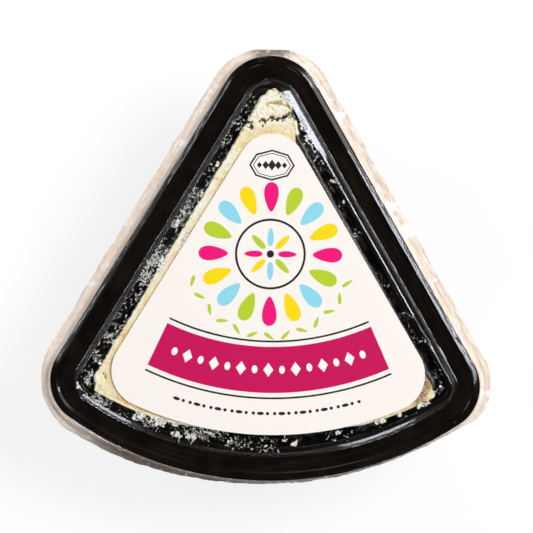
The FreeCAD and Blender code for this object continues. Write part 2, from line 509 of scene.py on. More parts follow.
def make_cheese():
    around = cheese_places()
    spread = [edge_spread(place, out) for place, out in around]
    bm = bmesh.new()
    edge_shade, mouldy, crease_and_pit_shade, sweated = (
        bm.verts.layers.float.new(name) for name in ("edge_shade", "mouldy", "crease_and_pit_shade", "sweated"))
    level = cheese_high.z

    def ring(height, inset):
        places = []
        for (place, out), extra in zip(around, spread):
            offset = extra - inset
            if height < level:
                offset = min(offset, wall_at(height) - 0.06)
            at = place + out * offset
            places.append(Vector((*at, height)))
        return places

    def note(vert, edge, inset):
        """Writes down what the finish has to know about a point, `inset` in from its place on the edge."""
        x, y, _ = vert.co
        vert[edge_shade] = edge_shade_share(edge, inset)
        vert[mouldy] = mould_share(x, y)
        vert[sweated] = sweat_share(x, y)

    loop = draw_out(bm, None, ring(cheese_low.z, 0.2))
    loop = draw_out(bm, loop, ring(level / 2, 0.1))
    for i in range(edge_steps + 1):
        turn = pi / 2 * i / edge_steps
        inset = cheese_round * (1 - cos(turn))
        loop = draw_out(bm, loop, ring(level - cheese_round * (1 - sin(turn)), inset))
        for vert in loop:
            note(vert, vert.co, inset)
    rim = [vert.co.copy() for vert in loop]
    for i in range(1, top_steps + 1):
        share = shown_share * (i / top_steps) ** 1.15
        places = []
        for at in rim:
            x = at.x + (cheese_middle.x - at.x) * share
            y = at.y + (cheese_middle.y - at.y) * share
            places.append(Vector((x, y, at.z + rise(i, -2, 3) * top_height(x, y))))
        loop = draw_out(bm, loop, places)
        for vert, at in zip(loop, rim):
            x, y, _ = vert.co
            note(vert, at, cheese_round + (at.xy - vert.co.xy).length)
            # How much painted shade the open creases and the pits get.
            vert[crease_and_pit_shade] = max(0.8 * open_crease(x, y), max(spot(x, y, pit) for pit in pits))
    bmesh.ops.contextual_create(bm, geom=loop)
    bottom = [vert for vert in bm.verts if abs(vert.co.z - cheese_low.z) < 1e-4]
    bmesh.ops.contextual_create(bm, geom=bottom)
    bmesh.ops.recalc_face_normals(bm, faces=bm.faces)
    return bm


# %% [markdown]
# A young blue cheese is warm cream, amber where it sweats against the paper, with highlights painted
# white on the tops of its lumps. Mould is grey-green to almost black; creases and holes are painted olive
# as shade. Light goes a little way into the curd, so the finish has some subsurface scattering, and the
# shade painted on its rounded edge breaks up in blots.

# %% Cheese finish


def soft_cheese(tree):
    cloud = grain(tree, 2.6, 4)
    fine = grain(tree, 0.5, 4, roughness=0.6)
    sweated = field(tree, "sweated")
    crease_and_pit_shade = field(tree, "crease_and_pit_shade")
    cream = mixed(tree, ramp(tree, cloud, 0.38, 0.62), screen(255, 252, 236), screen(252, 238, 196))
    sweat = mixed(tree, ramp(tree, cloud, 0.4, 0.66), screen(254, 231, 177), screen(243, 204, 132))
    ripe = mixed(tree, sweated, cream, sweat)
    browned = mixed(tree, ramp(tree, sweated, 1.0, 1.7), ripe, screen(150, 114, 66))
    ochre = mixed(tree, ramp(tree, grain(tree, 1.1, 3), 0.6, 0.76), browned, screen(216, 178, 104))
    # Painted highlight: the tops of the curd lumps, where the relief is highest, are painted near white.
    lump_highlight = mixed(tree, ramp(tree, fine, 0.51, 0.68), ochre, screen(255, 251, 240))
    blotted = maths(tree, "MULTIPLY_ADD", grain(tree, 0.9, 3), 0.8, field(tree, "mouldy"))
    mould = mixed(tree, ramp(tree, blotted, 1.04, 1.32), screen(136, 138, 114), screen(24, 28, 20))
    veined = mixed(tree, ramp(tree, blotted, 0.66, 1.1), lump_highlight, mould)
    # Painted shade: creases and pits are painted olive, and their deepest parts darker still.
    shaded = mixed(tree, ramp(tree, crease_and_pit_shade, 0.15, 0.8), veined, screen(196, 172, 112))
    deep_shade = mixed(tree, ramp(tree, crease_and_pit_shade, 0.7, 1.0), shaded, screen(62, 52, 26))
    # Painted shade: the rounded edge is painted near black, broken up by grey blots.
    edge_shade_mask = maths(tree, "MULTIPLY_ADD", grain(tree, 1.2, 4), 0.8, field(tree, "edge_shade"))
    shade_blots = ramp(tree, grain(tree, 0.5, 4), 0.55, 0.68)
    dark = mixed(tree, shade_blots, screen(14, 11, 9), screen(150, 140, 118))
    relief = maths(tree, "ADD", fine, times(tree, grain(tree, 0.18, 2), 0.4))
    return {
        "Base Color": mixed(tree, ramp(tree, edge_shade_mask, 0.78, 1.1), deep_shade, dark),
        "Roughness": 0.42,
        "Subsurface Weight": 0.25,
        "Subsurface Radius": (1.0, 0.6, 0.3),
        "Subsurface Scale": 1.0 * MM,
        "Normal": bump(tree, relief, 0.07),
    }


cheese_look = principled("soft_blue_cheese", soft_cheese)
finish_piece("cheese_body", make_cheese(), cheese_look, "cheese")

# %% [markdown]
# ## The film
# The film was sucked down while it was warm: it follows the rim, bridges the gap beside the cheese
# and lies flat under the label. Only its section matters, so the section is written as distances
# outside the foot of the wall with a height for each, and the bends between are rounded by averaging
# over a short stretch. A second section tells how slack film bridges the foot of the bead. A cloth
# simulation would wrinkle the film, but it wouldn't cling to the ridge.

# %% The section of the draped film
film_over = film_high.z - 0.02
flange_level = film_high.z - 1.6
ridge_level = flange_level + 0.4
lip_level = ridge_level - 0.7
hem_level = film_low.z + 0.2
gap_sag = 0.12
slack_sink = 0.18  # how far below the tight section slack film may sink
draped = [
    # distance outside the foot of the wall, height
    (-2.0, film_over), (-0.6, film_over - 0.01), (0.2, film_over - gap_sag), (bead_in, film_over - 0.02),
    (bead_out, film_over), (flange_in + 0.15, flange_level), (flange_out, flange_level),
    (ridge_in, ridge_level), (ridge_out, ridge_level), (ridge_out + 0.12, ridge_level - 0.12),
    (lip_out, lip_level), (hem_out, lip_level - 0.6),
]
slack = [
    (-0.6, film_over), (1.2, film_over + 0.145), (2.3, film_over - 0.18), (3.6, film_over - 0.68),
    (4.2, flange_level),
]
calm = [(flange_out - 1.6, flange_level), (ridge_in + 0.2, ridge_level)]
bend_reach, bend_samples = 0.3, 9


def section_height(section, offset):
    """The height of a section outside the foot, its bends rounded by averaging over a short stretch."""
    samples = np.linspace(offset - bend_reach, offset + bend_reach, bend_samples)
    return float(np.mean(np.interp(samples, *zip(*section))))


def film_height(offset, slackened, calmed):
    """The film's height: tight, or slack over the foot of the bead, or easing up to the ridge."""
    tight = section_height(draped, offset)
    eased = tight + (section_height(slack, offset) - tight) * slackened
    height = max(tight - slack_sink * slackened, eased)
    if calmed and calm[0][0] - 1 < offset < calm[1][0]:
        height += max(0, section_height(calm, offset) - height) * calmed
    return height


cover_offsets = np.concatenate([
    np.arange(hem_out, ridge_in - 0.5, -0.11), np.arange(ridge_in - 0.6, flange_in + 1.2, -0.24),
    np.arange(flange_in + 1.1, bead_in - 0.2, -0.12), np.arange(bead_in - 0.4, -1.9, -0.2),
])
print(f"{len(cover_offsets)} loops across the rim, film from {film_low.z:.1f} to {film_high.z:.1f} mm")

# %% [markdown]
# The clear cover is drawn out from the hem inwards. A little noise makes the flat parts waver, a few
# long folds cross the flange, and the film over the gap beside the cheese is lumpy, because it lies
# on crumbs. The lip has fine streaks along it, where the film was stretched. Each point keeps its
# place in the rim, as if the rim were pulled straight, so the finish can have such streaks too, and
# how loose the film is there.

# %% Folds, streaks and slack in the film
slack_by_tip, slack_by_side, slack_by_bow_end = 0.98, 0.5, 0.35
cover_folds = [
    # along x, along y, direction in degrees, length, height
    (42.6, -17.2, -56, 5.5, 0.30), (47.9, -22.5, -62, 4.0, 0.12), (-52.0, -38.0, 40, 3.0, 0.12),
    (56.4, -30.5, -66, 3.5, 0.25), (57.6, -37.0, -85, 2.5, 0.22), (-33.0, 8.0, 60, 3.0, 0.10),
]
fold_half_width, fold_bend = 0.45, 0.5
print(f"{len(cover_folds)} long folds")


def fold_height(x, y):
    """The lift of the long folds in the film over the flange."""
    total = 0
    for fold_x, fold_y, turn, length, height in cover_folds:
        away = Vector((x - fold_x, y - fold_y))
        if away.length < 2 * length:
            direction = pointing(turn)
            along = away.dot(direction) / length
            sideways = away.x * direction.y - away.y * direction.x
            across = (sideways + fold_bend * along * along) / fold_half_width
            total += height * max(0, 1 - along * along) * max(0, 1 - abs(across)) ** 1.5
    return total


def rim_places(around, offset):
    """Each station's place in a straightened rim: two numbers go round with it, the third goes across."""
    on_rim = [place + out * offset for place, out in around]
    steps = [(after - before).length for before, after in zip(on_rim, on_rim[1:] + on_rim[:1])]
    turns = np.cumsum([0] + steps[:-1]) / sum(steps) * 2 * pi
    radius = sum(steps) / (2 * pi)
    return [Vector((radius * cos(turn), radius * sin(turn), 0)) for turn in turns]


def streak(rim, length, width, seed, depth=1):
    """Smooth noise from about -1 to 1, drawn out along the rim."""
    place = Vector((rim.x / length, rim.y / length, rim.z / width + seed * seed_step))
    return noise.fractal(place, 1.0, 2.0, depth)


def cover_lift(place, rim, slackened):
    """How far the film stands off its plain section."""
    x, y = place
    offset = rim.z
    lift = 0.02 * ripple(x, y, 9, 21, 2) + fold_height(x, y)
    beside_cheese = rise(offset, -1.2, 0) * (1 - rise(offset, 0.5, 1.3))
    lumps = between(rise(-x, -10, 15), 0.03, 0.09) * ripple(x, y, 1.0, 22, 3) - 0.06
    lift += beside_cheese * lumps * (1 - slackened)
    on_flange = rise(offset, flange_in, flange_in + 1) * (1 - rise(offset, flange_out - 0.5, flange_out))
    lift += on_flange * 0.035 * streak(rim, 14, 1.1, 24, 2)
    on_lip = rise(offset, ridge_out - 0.2, ridge_out + 0.3)
    right_corner = rise(x, 40, 50) * rise(-y, 12, 24)
    crumpled = 0.22 * right_corner * streak(rim, 1.4, 1.6, 26, 2)
    return lift + on_lip * (0.045 * streak(rim, 8, 0.5, 25, 2) + crumpled)


def slackness(at, out):
    """How slack the film is over the foot of the bead, from 0 to 1.

    It is slackest at the right of the tip, less so down the right side and at the ends of the bow.
    """
    uneven = 0.06 * ripple(at.x, at.y, 1.6, 23, 2)
    on_side = 0
    if out.x >= 0:
        near_tip = rise(at.y, 24, 36) * (1 - rise(at.y, 47.5, 50.5))
        on_side = between(near_tip, slack_by_side * rise(at.y, -28, -20), slack_by_tip)
        if -24 < at.y < 50:
            on_side += uneven
    bow_end = rise(abs(out.x), 0.12, 0.3) * rise(-out.y, 0.55, 0.75)
    return max(0, min(1, max(on_side, bow_end * (slack_by_bow_end + uneven))))


# %% Draw out the clear cover
film_spacing = 0.42


def make_cover():
    around = stations(foot, lip_out / 2, film_spacing)
    rim = rim_places(around, lip_out / 2)
    bm = bmesh.new()
    rim_layer = bm.verts.layers.float_vector.new("rim")
    loose = bm.verts.layers.float.new("loose")
    loop = None
    for offset in cover_offsets:
        over_foot = rise(offset, 0.8, 2.1) * (1 - rise(offset, 2.3, 4.0))
        slack_here = [slackness(place + out * offset, out) for place, out in around]
        places = []
        for (foot_place, out), at_rim, slackened in zip(around, rim, slack_here):
            at_rim.z = offset
            at = foot_place + out * offset
            calmed = rise(-out.x - out.y, 1.15, 1.35)
            height = film_height(offset, slackened, calmed) + cover_lift(at, at_rim, slackened)
            places.append(Vector((*at, min(height, label_high.z - 0.02))))
        loop = draw_out(bm, loop, places)
        for vert, at_rim, slackened in zip(loop, rim, slack_here):
            vert[rim_layer] = at_rim
            vert[loose] = slackened * over_foot
    inner = [vert.co.copy() for vert in loop]
    middle = Vector((0, cheese_middle.y, film_over))
    for share in (0.04, 0.1, 0.2, 0.4, 0.7):
        loop = draw_out(bm, loop, [at.lerp(middle, share) for at in inner])
        for vert, at_rim in zip(loop, rim):
            vert[rim_layer] = at_rim
    bmesh.ops.contextual_create(bm, geom=loop)
    turn_upwards(bm)
    return bm


# %% [markdown]
# Clear film is seen by what it reflects. It lets light straight through and mirrors more of it the
# flatter the view is, which the facing output of a Layer Weight node gives alike from both sides.
# Where it is loose, both its faces mirror. Over that come thin, broken whey where it touches crumbs,
# and faint milky streaks where it was stretched.

# %% Clear film finish
tight_mirror, loose_mirror = 0.028, 0.042  # straight on, and how much more where it is loose


def mirror_share(tree, normal, least):
    """How much a clear film mirrors: a little straight on, nearly everything at a glancing view."""
    facing = add(tree, "LayerWeight", {"Blend": 0.5, "Normal": normal}).outputs["Facing"]
    return maths(tree, "MULTIPLY_ADD", maths(tree, "POWER", facing, 5), 0.95, least)


def streaks(tree, length, width, detail=2.0):
    """Noise from 0 to 1 that is drawn out along the rim, `length` by `width` mm."""
    drawn = add(tree, "Mapping", {"Vector": field(tree, "rim", "Vector"),
                                  "Scale": (1 / length, 1 / length, 1 / width)}).outputs["Vector"]
    return add(tree, "TexNoise", {"Vector": drawn, "Scale": 1.0, "Detail": detail}).outputs["Fac"]


def clear_finish():
    material, tree = new_tree("clear_lid_film")
    waver = bump(tree, maths(tree, "ADD", grain(tree, 3.0, 2), streaks(tree, 9, 0.5, 0.8)), 0.012)
    mirror = add(tree, "BsdfGlossy", {"Color": screen(240, 244, 255), "Roughness": 0.11, "Normal": waver})
    through = add(tree, "BsdfTransparent")
    unstreaked = ramp(tree, streaks(tree, 10, 1.1, 0), 0.80, 0.35)
    stands_off = times(tree, ramp(tree, field(tree, "loose"), 0.1, 0.9), unstreaked)
    straight_on = maths(tree, "MULTIPLY_ADD", stands_off, loose_mirror, tight_mirror)
    mirrored = mirror_share(tree, waver, straight_on)
    clear = add(tree, "MixShader", {0: mirrored, 1: through.outputs[0], 2: mirror.outputs[0]})
    outside = add(tree, "SeparateXYZ", {"Vector": field(tree, "rim", "Vector")}).outputs["Z"]
    beside_cheese = times(tree, ramp(tree, outside, -2.4, -1.2), ramp(tree, outside, 0.9, -0.3))
    drops = ramp(tree, grain(tree, 0.45, 3, roughness=0.6), 0.59, 0.63)
    whey = times(tree, drops, ramp(tree, grain(tree, 4.0, 2), 0.45, 0.6))
    whey_share = times(tree, times(tree, whey, beside_cheese), 0.4)
    stretched = times(tree, ramp(tree, streaks(tree, 16, 0.45, 3), 0.52, 0.7), 0.012)
    milk = mixed(tree, beside_cheese, screen(215, 180, 150), screen(212, 212, 206))
    milky = add(tree, "BsdfDiffuse", {"Color": milk})
    share = maths(tree, "ADD", whey_share, stretched)
    surface = add(tree, "MixShader", {0: share, 1: clear.outputs[0], 2: milky.outputs[0]})
    add(tree, "OutputMaterial", {"Surface": surface.outputs[0]})
    return material


finish_piece("film_cover", make_cover(), clear_finish(), "lid_film")

# %% [markdown]
# Outside the hem the film is trimmed by hand, so its margin is uneven: wide along the sides, narrow
# at the tip and almost nothing along the bow. It is milky, crinkled across and droops.
# The width is given for a few directions round the pack and blended between them.

# %% The width and the drape of the margin
margin_widths = [
    # direction that the rim faces, in degrees, and the width of the margin there
    (-124, 2.9), (-112, 2.2), (-100, 1.1), (-90, 0.75), (-78, 0.5), (-66, 0.25), (-57, 0.6), (-35, 2.2),
    (0, 3.1), (30.5, 3.05), (60, 2.3), (90, 1.55), (120, 2.2), (149.5, 3.0), (180, 2.3), (215, 2.4),
    (236, 2.9),
]
margin_steps = 14
margin_least = 0.12
hem_cover = 0.3  # how far in over the hem the margin starts
margin_start = lip_level + 0.08
margin_droop = 0.35
print(f"the margin falls from {margin_start:.1f} to {hem_level:.1f} mm")


def margin_width(place, out):
    facing = degrees(atan2(out.y, out.x))
    facing = facing + 360 if facing < -124.5 else facing
    width = np.interp(facing, *zip(*margin_widths))
    ragged = 0.22 * ripple(place.x, place.y, 3.2, 31, 4) + 0.10 * ripple(place.x, place.y, 0.8, 32, 2)
    return max(margin_least, width * (1 + 0.08 * ripple(place.x, place.y, 12, 33)) + ragged)


def make_margin():
    around = stations(foot, hem_out, film_spacing)
    rim = rim_places(around, hem_out)
    widths = [margin_width(place, out) for place, out in around]
    bm = bmesh.new()
    rim_layer = bm.verts.layers.float_vector.new("rim")
    outward = bm.verts.layers.float.new("outward")
    browned = bm.verts.layers.float.new("browned")
    loop = None
    for i in range(margin_steps + 1):
        share = i / margin_steps
        droop = margin_droop * share * share
        places = []
        for (foot_place, out), width, at_rim in zip(around, widths, rim):
            reach = (width + hem_cover) * share ** 0.8
            at_rim.z = reach
            at = foot_place + out * (hem_out - hem_cover + reach)
            at.x = min(max(at.x, film_low.x), film_high.x)
            at.y = min(max(at.y, film_low.y), film_high.y)
            crinkle = 0.30 * streak(at_rim, 5, 1.2, 34, 3) + 0.16 * streak(at_rim, 1.3, 2.5, 35, 2)
            fall = (margin_start - hem_level) * rise(reach, 0.05, 0.9)
            z = margin_start - fall - droop + crinkle * rise(reach, 0.3, 1.6) * min(1, width)
            places.append(Vector((*at, z)))
        loop = draw_out(bm, loop, places)
        for vert, (_, out), at_rim in zip(loop, around, rim):
            vert[rim_layer] = at_rim
            vert[outward] = share
            vert[browned] = max(rise(-out.y, 0.80, 0.93), 0.8 * rise(out.y, 0.9, 0.99))
    turn_upwards(bm)
    return bm


# %% [markdown]
# Crumpled film scatters light at every crease, so the margin looks like beige, milky paper, with
# white glints painted into its colour. It is mostly opaque. A little of what is under it still shows,
# and it is darker brown towards its cut edge. Along the bow and over the tip it is brown nearly all the way
# across.

# %% Margin finish


def milky_margin(tree):
    lines = streaks(tree, 7, 0.35, 4)
    creases = grain(tree, 1.3, 5, roughness=0.6)
    outward = field(tree, "outward")
    beige = mixed(tree, ramp(tree, lines, 0.38, 0.62), screen(228, 209, 191), screen(247, 236, 225))
    blotched = mixed(tree, ramp(tree, creases, 0.45, 0.65), beige, screen(233, 213, 196))
    # Painted reflection: white patches stand in for glints on the crumpled film.
    glint = mixed(tree, ramp(tree, grain(tree, 4.5, 3), 0.58, 0.68), blotched, screen(255, 253, 250))
    # Darker brown towards the cut edge, and nearly all the way across along the bow and over the tip.
    edge_brown = times(tree, ramp(tree, outward, 0.7, 1.0), ramp(tree, grain(tree, 0.9, 4), 0.5, 0.65))
    fringe = times(tree, field(tree, "browned"), ramp(tree, outward, -0.2, 0.15))
    blotches = ramp(tree, grain(tree, 1.6, 4), 0.24, 0.44)
    brown_share = maths(tree, "MULTIPLY_ADD", fringe, blotches, times(tree, edge_brown, 0.25))
    brown = mixed(tree, grain(tree, 0.5, 3), screen(36, 24, 12), screen(106, 78, 52))
    return {
        "Base Color": mixed(tree, maths(tree, "MINIMUM", brown_share, 0.97), glint, brown),
        "Roughness": 0.45,
        "Specular IOR Level": 0.3,
        "Alpha": 0.95,
        "Normal": bump(tree, maths(tree, "ADD", lines, creases), 0.12),
    }


margin_look = principled("milky_film_margin", milky_margin)
finish_piece("film_margin", make_margin(), margin_look, "lid_film")

# %% [markdown]
# ## Crumbs under the film
# Soft curd crumbles when it is packed: specks as fine as dust lie on the bead and in the gap beside
# the cheese, with some larger smears pressed flat by the film. There are thousands of bits, so one
# small ball is copied by arrays, and each copy is squashed, turned and placed by seeded chance. They
# are thick where the wedge was handled most, on the left and along the left half of the bow.

# %% One ball and many copies of it


def ball(subdivisions):
    """The corners and faces of a small ball of radius 1."""
    bm = bmesh.new()
    bmesh.ops.create_icosphere(bm, subdivisions=subdivisions, radius=1)
    corners = np.array([vert.co[:] for vert in bm.verts])
    faces = np.array([[vert.index for vert in face.verts] for face in bm.faces])
    bm.free()
    return corners, faces


def scattered(name, subdivisions, places, sizes, chance, lumpy):
    """A mesh of many squashed balls; a size is a half length, a half width and a half height."""
    corners, faces = ball(subdivisions)
    count = len(places)
    turns = chance.uniform(0, 2 * pi, count)
    lumps = 1 + lumpy * chance.uniform(-1, 1, (count, len(corners), 1))
    grown = corners[None] * lumps * sizes[:, None, :]
    x = grown[..., 0] * np.cos(turns)[:, None] - grown[..., 1] * np.sin(turns)[:, None]
    y = grown[..., 0] * np.sin(turns)[:, None] + grown[..., 1] * np.cos(turns)[:, None]
    points = np.stack([x, y, grown[..., 2]], axis=-1) + places[:, None]
    joined = (faces[None] + len(corners) * np.arange(count)[:, None, None]).reshape(-1, 3)
    mesh = bpy.data.meshes.new(name)
    mesh.from_pydata((points.reshape(-1, 3) * MM).tolist(), [], joined.tolist())
    mesh.update()
    return mesh


# %% Where crumbs lie
crumb_count = 1500
crumb_bed = tray_high.z + 0.04
crumb_thickness = 0.06  # half of it


def crumb_density(place):
    """How many crumbs lie here, from 0 to 1: in drifts, most at the left and bottom left."""
    x, y = place
    leftness = rise(-x, -6, 24) * (1 - 0.85 * rise(y, 8, 26))
    drift = rise(ripple(x, y, 5.0, 41, 3), -0.2, 0.45)
    return (0.10 + 0.90 * leftness) * (0.05 + 0.95 * drift)


def crumb_starts(count, chance):
    """Places for crumbs: beside the cheese and on the bead, and right up to the label along the bow."""
    around = stations(foot, 0, 0.1)
    found = []
    while len(found) < count:
        place, out = around[chance.integers(len(around))]
        innermost = between(rise(-out.y, 0.6, 0.9), -0.6, -2.4)
        at = place + out * chance.uniform(innermost, bead_out)
        if chance.uniform() < crumb_density(at):
            found.append(at)
    return found


def crumbled(starts, steps, stride, half, chance):
    """Places and sizes for crumbs: from each start a short, crooked chain of bits of uneven size."""
    places, sizes = [], []
    for start in starts:
        at = Vector(start)
        heading = chance.uniform(0, 2 * pi)
        size = half * (0.3 + 0.7 * chance.uniform() ** 2)
        for _ in range(chance.integers(1, steps + 1)):
            places.append((at.x, at.y, crumb_bed + 0.03 * chance.uniform()))
            flat = min(size * 0.6, crumb_thickness)
            sizes.append((size * chance.uniform(0.7, 1.3), size * chance.uniform(0.5, 1.0), flat))
            heading += chance.normal(0, 0.9)
            at += Vector((cos(heading), sin(heading))) * stride * size
            size *= chance.uniform(0.7, 1.05)
    return np.array(places), np.array(sizes)


def make_specks():
    chance = np.random.default_rng(7)
    starts = crumb_starts(crumb_count, chance)
    places, sizes = crumbled(starts, steps=5, stride=1.6, half=0.22, chance=chance)
    return scattered("curd_specks", 1, places, sizes, chance, lumpy=0.3)


# %% [markdown]
# Curd is chalky: nearly white when it is dry and grey where whey has soaked it. The colour changes
# from crumb to crumb, so it is read from noise that is coarser than one crumb.

# %% Crumb finish and the specks


def crumbled_curd(tree):
    tone = ramp(tree, grain(tree, 0.8, 3), 0.35, 0.65)
    return {
        "Base Color": mixed(tree, tone, screen(208, 208, 202), screen(255, 253, 247)),
        "Roughness": 0.6,
        "Subsurface Weight": 0.15,
        "Subsurface Radius": (1.0, 0.8, 0.6),
        "Subsurface Scale": 0.4 * MM,
        "Normal": bump(tree, grain(tree, 0.15, 2), 0.05),
    }


curd = principled("crumbled_curd", crumbled_curd)
finish_mesh("curd_specks", make_specks(), curd)

# %% [markdown]
# A smear is a crowd of the same bits, a little larger and rounder, inside an oval.

# %% Smears of curd
smears = [
    # along x, along y, half length, half width, turn in degrees
    (-28.6, 0.2, 2.7, 1.0, 58), (-22.3, 7.6, 2.0, 0.5, 60), (-31.2, -4.6, 0.9, 0.4, 60),
    (-24.5, 11.5, 1.4, 0.4, 60), (-18.1, 19.2, 0.8, 0.3, 50), (-14.2, 27.6, 0.8, 0.3, 60),
    (-8.5, 38.7, 0.7, 0.3, 60), (-41.0, -20.9, 1.2, 0.3, 30), (-44.7, -26.8, 0.6, 0.3, 20),
    (-50.2, -33.3, 1.6, 0.4, -60), (-34.0, -41.2, 1.5, 1.1, 0), (-28.9, -42.5, 2.2, 0.9, -25),
    (-24.3, -43.2, 1.2, 0.4, -20), (-24.0, -45.7, 1.5, 0.8, -15), (-20.1, -46.4, 1.8, 0.5, -10),
    (0.4, -48.6, 0.6, 0.3, 0), (5.6, -47.0, 0.8, 0.5, 10), (8.3, -47.9, 0.9, 0.6, 10),
    (20.6, -44.5, 1.6, 0.3, 14), (31.5, -41.3, 1.8, 0.4, 20), (36.6, -39.4, 0.6, 0.5, 20),
    (43.3, -36.5, 2.2, 0.5, 20), (47.5, -31.6, 0.7, 0.2, -60), (10.6, 35.9, 1.5, 0.4, -60),
    (8.8, 38.2, 1.4, 0.4, -65), (10.2, 34.9, 1.6, 0.5, -60), (12.0, 32.2, 1.2, 0.4, -60),
    (17.4, 23.8, 1.2, 0.3, -30), (20.3, 18.0, 0.6, 0.3, -60),
]
bits_per_area = 13


def make_smears():
    chance = np.random.default_rng(11)
    starts = []
    for x, y, half_length, half_width, turn in smears:
        direction = pointing(turn)
        across = Vector((-direction.y, direction.x))
        for _ in range(ceil(bits_per_area * half_length * half_width)):
            reach = chance.uniform() ** 0.6
            angle = chance.uniform(0, 2 * pi)
            at = Vector((x, y)) + direction * half_length * reach * cos(angle)
            at += across * half_width * reach * sin(angle)
            starts.append(at)
    places, sizes = crumbled(starts, steps=2, stride=1.0, half=0.55, chance=chance)
    return scattered("curd_smears", 2, places, sizes, chance, lumpy=0.08)


finish_mesh("curd_smears", make_smears(), curd)

# %% [markdown]
# ## The label and its print
# The label is coated paper, warm white and almost matt. The solid is right as it is and keeps its
# mesh. The print stands for the look of such a label without any words: a rosette of petals, a
# sprig of leaves, a curved ribbon with a row of beads, a row of dots, and near the tip an
# eight-sided frame with lozenges in it.

# %% Paper finish
label_fan = Vector((label_x, label_shape.centre.y))


def label_paper(tree):
    fibres = grain(tree, 0.5, 4)
    return {
        "Base Color": mixed(tree, fibres, screen(249, 242, 236), screen(252, 246, 241)),
        "Roughness": 0.55,
        "Specular IOR Level": 0.3,
        "Normal": bump(tree, fibres, 0.01),
    }


label = refinish("label", principled("label_paper", label_paper))
print(f"label from {label_low.z:.2f} to {label_high.z:.2f} mm, fan centre at {label_fan.y:.1f} mm")

# %% [markdown]
# Every printed colour is one piece: flat shapes, which are given the thickness of the ink at the
# end. A shape starts as a disc. It is stretched into a petal, a leaf, a bead or a lozenge and then
# turned and moved to its place by one matrix.

# %% Printing shapes
ink_thickness = 0.012
ink_sink = 0.5  # the share of its thickness that the first layer of ink lies in the paper
second_layer = 0.8  # how much higher a second layer lies, in thicknesses


def stamp(bm, half_length, half_width, place, turn, taper=0.0, points=28):
    """A flat oval at an x and y, its length turned by `turn` degrees; taper narrows its far end."""
    disc = bmesh.ops.create_circle(bm, cap_ends=True, segments=points, radius=1)["verts"]
    for vert in disc:
        vert.co.y *= 1 - taper * (vert.co.x + 1) / 2
    matrix = Matrix.Translation((*place, 0)) @ Matrix.Rotation(radians(turn), 4, "Z")
    matrix = matrix @ Matrix.Diagonal((half_length, half_width, 1, 1))
    bmesh.ops.transform(bm, matrix=matrix, verts=disc)
    return disc[0].link_faces[0]


def frame_line(bm, half_length, half_width, place, thickness, points):
    """The outline of a stamped shape, as a line of even thickness."""
    inside = stamp(bm, half_length, half_width, place, 0, points=points)
    bmesh.ops.inset_region(bm, faces=[inside], thickness=thickness, use_boundary=True, use_even_offset=True)
    bmesh.ops.delete(bm, geom=[inside], context="FACES_ONLY")


def arc_band(bm, centre, inner, outer, start, end, steps):
    """A flat band bent round a centre, from one direction to another in degrees."""
    grid = bmesh.ops.create_grid(bm, x_segments=steps, y_segments=1, size=1)["verts"]
    for vert in grid:
        angle = start + (end - start) * (vert.co.x + 1) / 2
        radius = inner + (outer - inner) * (vert.co.y + 1) / 2
        vert.co = (*(centre + radius * pointing(angle)), 0)
    bmesh.ops.remove_doubles(bm, verts=bm.verts, dist=1e-4)


def ink_finish(name, colour):
    """Ink in one colour, which came out a little lighter in places."""
    lighter = [min(1, part * 1.08 + 0.004) for part in colour]
    return principled(name, lambda tree: {
        "Base Color": mixed(tree, grain(tree, 0.7, 3), colour, lighter),
        "Roughness": 0.45,
        "Specular IOR Level": 0.3,
    })


def print_ink(name, bm, colour, layer=0):
    """Gives the flat shapes the thickness of ink on the label, and finishes them."""
    made = bmesh.ops.extrude_face_region(bm, geom=bm.faces[:])["geom"]
    top = [item for item in made if isinstance(item, bmesh.types.BMVert)]
    bmesh.ops.translate(bm, vec=(0, 0, ink_thickness), verts=top)
    level = label_high.z - ink_thickness * ink_sink + layer * ink_thickness * second_layer
    bmesh.ops.translate(bm, vec=(0, 0, level), verts=bm.verts)
    bmesh.ops.recalc_face_normals(bm, faces=bm.faces)
    piece = finish_piece(name, bm, ink_finish(name + "_finish", colour))
    piece.data.shade_flat()


# %% The rosette
rosette = Vector((label_x, 3.5))
petal_count = 16
petal_inner, petal_outer = 11.5, 19.5
petal_middle, petal_half = (petal_inner + petal_outer) / 2, (petal_outer - petal_inner) / 2
heart_radius = 4.6
petal_colours = {
    "print_pink": screen(238, 0, 118),
    "print_yellow": screen(250, 216, 0),
    "print_sky": screen(142, 214, 234),
    "print_lime": screen(182, 206, 44),
}
petal_order = list(petal_colours)
inks = {name: bmesh.new() for name in petal_order}
for i in range(petal_count):
    angle = 90 + 360 * i / petal_count
    petal = inks[petal_order[i % 4]]
    stamp(petal, petal_half, 2.6, rosette + petal_middle * pointing(angle), angle + 180, taper=0.55)
for i in range(petal_count // 2):
    angle = 90 + 720 * i / petal_count
    petal = inks[petal_order[(i + 2) % 4]]
    stamp(petal, 2.5, 1.0, rosette + heart_radius * pointing(angle), angle, taper=0.3)
print("faces in each ink:", {name: len(bm.faces) for name, bm in inks.items()})

# %% The sprig of leaves
leaf_count = 13
sprig_radius = 22.3
for i in range(leaf_count):
    angle = -160 + 140 * i / (leaf_count - 1)
    tilt = 35 if i % 2 else -35
    place = rosette + sprig_radius * pointing(angle)
    stamp(inks["print_lime"], 1.6, 0.62, place, angle + 90 + tilt, taper=0.5)
for name, colour in petal_colours.items():
    print_ink(name, inks[name], colour)

